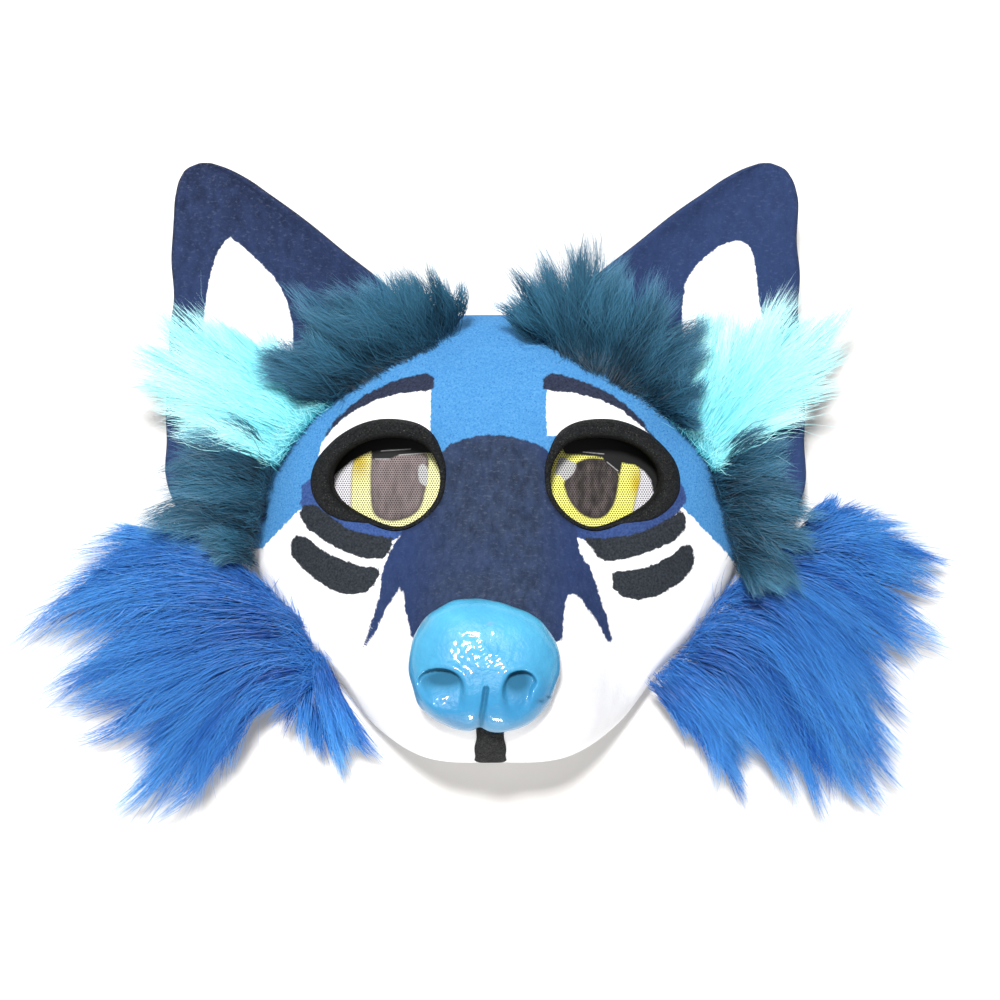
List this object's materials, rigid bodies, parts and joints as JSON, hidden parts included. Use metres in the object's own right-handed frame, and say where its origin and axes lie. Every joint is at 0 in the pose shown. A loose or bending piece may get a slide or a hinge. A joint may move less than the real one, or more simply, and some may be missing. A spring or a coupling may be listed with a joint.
{
  "type": "canine costume face mask",
  "caption": "Wearable wolf-like face mask: painted felt shell, glossy nose, mesh eyes, foam eyelids, upright flat ears and long fur at the cheeks, sides and brow.",
  "frame": {"origin": "middle of the rim plane, where the wearer's face goes in, on the face shell's middle line", "axes": "+Z out of the face through the nose, +Y towards the ears, +X to the side that lies right in the picture; the rim rests on the plane z = 0"},
  "size_m": [0.3289, 0.2282, 0.0845],
  "materials": {
    "painted_felt": "blue and white paint on foam and felt, matt",
    "ear_felt": "navy and white paint on felted foam, matt",
    "cast_nose": "light blue, glossy",
    "black_foam": "charcoal foam, matt",
    "sight_mesh": "printed white mesh, yellow iris and dark pupil",
    "teal_fur": "dark teal long-pile faux fur",
    "aqua_fur": "pale aqua long-pile faux fur",
    "royal_fur": "royal blue long-pile faux fur"
  },
  "bodies": {
    "root": {"face_shell": "painted_felt", "nose": "cast_nose", "lip_strip": "black_foam", "eye_rim_left": "black_foam", "eye_mesh_left": "sight_mesh", "ear_left": "ear_felt", "fur_cheek_left": "royal_fur", "fur_side_left": "teal_fur", "fur_inner_ear_left": "aqua_fur", "fur_brow_left": "teal_fur", "eye_rim_right": "black_foam", "eye_mesh_right": "sight_mesh", "ear_right": "ear_felt", "fur_cheek_right": "royal_fur", "fur_side_right": "teal_fur", "fur_inner_ear_right": "aqua_fur", "fur_brow_right": "teal_fur"}
  },
  "joints": []
}
